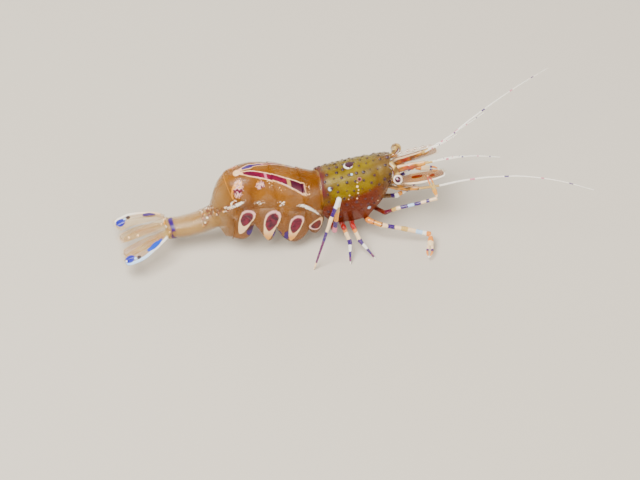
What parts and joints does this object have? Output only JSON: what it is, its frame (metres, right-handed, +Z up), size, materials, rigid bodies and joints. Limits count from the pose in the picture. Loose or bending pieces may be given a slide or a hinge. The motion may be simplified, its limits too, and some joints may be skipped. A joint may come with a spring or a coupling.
{
  "type": "cleaner shrimp",
  "caption": "Small cleaner shrimp standing on its walking legs, back humped, tail fan spread behind, claws folded in front, long feelers reaching forward.",
  "frame": {"origin": "bottom centre of the whole model, on the floor under its feet", "axes": "+X towards the head and feelers, +Y to the animal's left, +Z up"},
  "size_m": [0.0402, 0.0154, 0.0084],
  "materials": {
    "carapace_shell": "clear olive-yellow shell with small dark purple dots",
    "clear_shell": "glassy amber shell with purple marks edged in white",
    "underside": "orange-brown flesh seen through the shell",
    "tail_fan": "clear blades with blue spots and white outer edges",
    "eyestalk": "pale stalk with a white line",
    "eye": "glossy purple with a pink-white ring",
    "feeler": "white with thin violet bands",
    "banded_leg": "white and cream with violet bands",
    "claw": "cream-orange with violet bands",
    "swimmeret": "pale clear paddle"
  },
  "bodies": {
    "root": {"carapace": "carapace_shell", "rostrum": "carapace_shell", "thorax": "underside", "abdomen_1": "clear_shell", "abdomen_2": "clear_shell", "abdomen_3": "clear_shell", "abdomen_4": "clear_shell", "abdomen_5": "clear_shell", "abdomen_6": "clear_shell", "telson": "tail_fan", "uropod_outer_left": "tail_fan", "uropod_inner_left": "tail_fan", "eyestalk_left": "eyestalk", "eye_left": "eye", "antennule_left": "feeler", "antennal_scale_left": "clear_shell", "antenna_left": "feeler", "maxilliped_left": "banded_leg", "claw_leg_1_left": "banded_leg", "claw_1_left": "claw", "claw_leg_2_left": "banded_leg", "claw_2_left": "claw", "walking_leg_3_left": "banded_leg", "walking_leg_4_left": "banded_leg", "walking_leg_5_left": "banded_leg", "swimmeret_1_left": "swimmeret", "swimmeret_2_left": "swimmeret", "swimmeret_3_left": "swimmeret", "swimmeret_4_left": "swimmeret", "swimmeret_5_left": "swimmeret", "uropod_outer_right": "tail_fan", "uropod_inner_right": "tail_fan", "eyestalk_right": "eyestalk", "eye_right": "eye", "antennule_right": "feeler", "antennal_scale_right": "clear_shell", "antenna_right": "feeler", "maxilliped_right": "banded_leg", "claw_leg_1_right": "banded_leg", "claw_1_right": "claw", "claw_leg_2_right": "banded_leg", "claw_2_right": "claw", "walking_leg_3_right": "banded_leg", "walking_leg_4_right": "banded_leg", "walking_leg_5_right": "banded_leg", "swimmeret_1_right": "swimmeret", "swimmeret_2_right": "swimmeret", "swimmeret_3_right": "swimmeret", "swimmeret_4_right": "swimmeret", "swimmeret_5_right": "swimmeret"}
  },
  "joints": []
}
